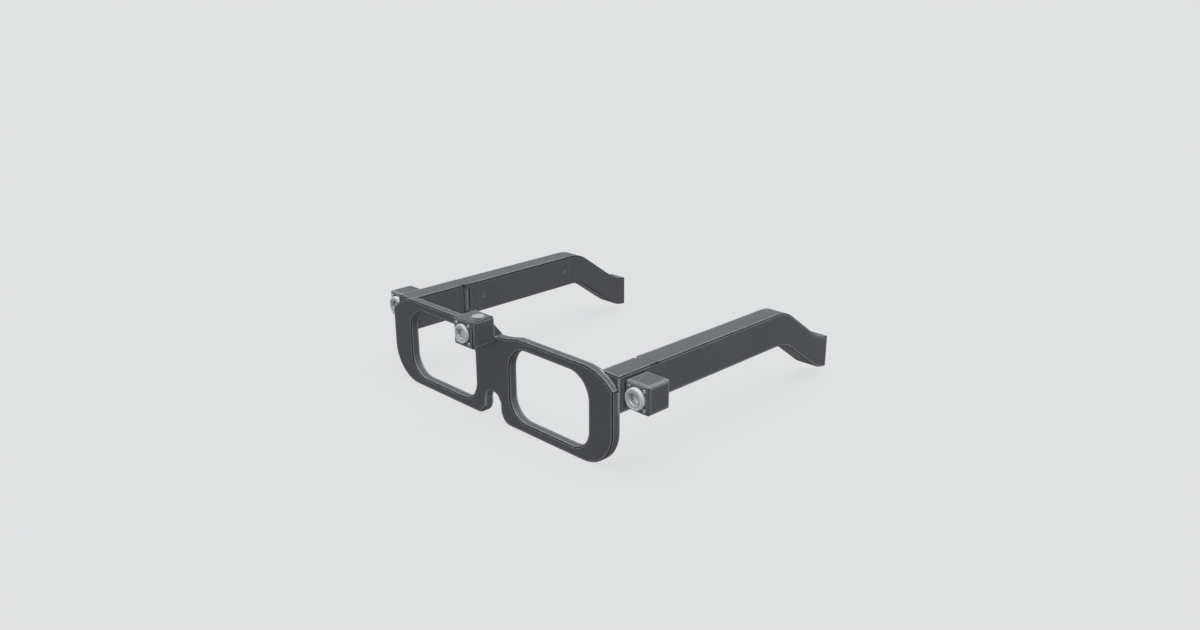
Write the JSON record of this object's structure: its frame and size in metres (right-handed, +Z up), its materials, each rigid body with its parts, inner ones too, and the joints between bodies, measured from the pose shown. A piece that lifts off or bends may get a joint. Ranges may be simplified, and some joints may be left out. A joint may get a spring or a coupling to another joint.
{
  "type": "camera glasses",
  "caption": "Dark plastic glasses frame without lenses, with a camera on the bridge and one on each side, a shutter button and folding temples.",
  "frame": {"origin": "under the middle of the whole object's bounding box, on the level of the rims' undersides", "axes": "+X across the front towards the picture's right-hand camera, the lenses look towards -Y, the temples run back along +Y, +Z up as worn"},
  "size_m": [0.176, 0.1656, 0.0503],
  "materials": {
    "frame_plastic": "fine matte moulded dark grey",
    "lens_ring": "light grey satin, turned",
    "face_screw": "light grey satin",
    "lens_glass": "coated, smooth",
    "steel": "plain steel",
    "circuit_board": "green lacquer",
    "contact_metal": "gold plated",
    "cell": "foil pouch",
    "ribbon": "amber film",
    "switch": "black moulding"
  },
  "bodies": {
    "front": {"front_frame": "frame_plastic", "brow_cover": "frame_plastic", "front_ribbon": "ribbon", "bridge_housing": "frame_plastic", "bridge_bracket": "frame_plastic", "bridge_lens_barrel": "lens_ring", "bridge_lens_glass": "lens_glass", "bridge_sensor_board": "circuit_board", "bridge_face_screws": "face_screw", "bridge_fixing_screws": "steel", "bracket_screws": "steel", "shutter_switch": "switch", "right_camera_housing": "frame_plastic", "right_lens_barrel": "lens_ring", "right_lens_glass": "lens_glass", "right_sensor_board": "circuit_board", "right_face_screws": "face_screw", "right_camera_screws": "steel", "left_camera_housing": "frame_plastic", "left_lens_barrel": "lens_ring", "left_lens_glass": "lens_glass", "left_sensor_board": "circuit_board", "left_face_screws": "face_screw", "left_camera_screws": "steel", "right_endpiece": "frame_plastic", "right_endpiece_cover": "frame_plastic", "right_endpiece_screws": "steel", "right_link_board": "circuit_board", "right_contact_pads": "contact_metal", "right_frame_leaf": "steel", "left_endpiece": "frame_plastic", "left_endpiece_cover": "frame_plastic", "left_endpiece_screws": "steel", "left_link_board": "circuit_board", "left_contact_pads": "contact_metal", "left_frame_leaf": "steel"},
    "button": {"shutter_button": "lens_ring"},
    "right_temple": {"right_temple_shell": "frame_plastic", "right_temple_cover": "frame_plastic", "right_cover_screws": "steel", "right_temple_leaf": "steel", "right_hinge_pin": "steel", "right_contact_pins": "contact_metal", "right_battery": "cell", "main_board": "circuit_board", "charge_pads": "contact_metal"},
    "left_temple": {"left_temple_shell": "frame_plastic", "left_temple_cover": "frame_plastic", "left_cover_screws": "steel", "left_temple_leaf": "steel", "left_hinge_pin": "steel", "left_contact_pins": "contact_metal", "left_battery": "cell", "power_board": "circuit_board"}
  },
  "joints": [
    {"name": "right_fold", "type": "hinge", "parent": "front", "child": "right_temple", "pos_m": [0.0668, -0.04333, 0.0331], "axis": [0, 0, 1], "range_deg": [0, 90]},
    {"name": "left_fold", "type": "hinge", "parent": "front", "child": "left_temple", "pos_m": [-0.0668, -0.03182, 0.0331], "axis": [0, 0, -1], "range_deg": [0, 90]},
    {"name": "button_press", "type": "slide", "parent": "front", "child": "button", "axis": [0, 0, -1], "range_m": [0, 0.0004], "stiffness_N_per_m": 500, "springref_m": -0.0006}
  ]
}
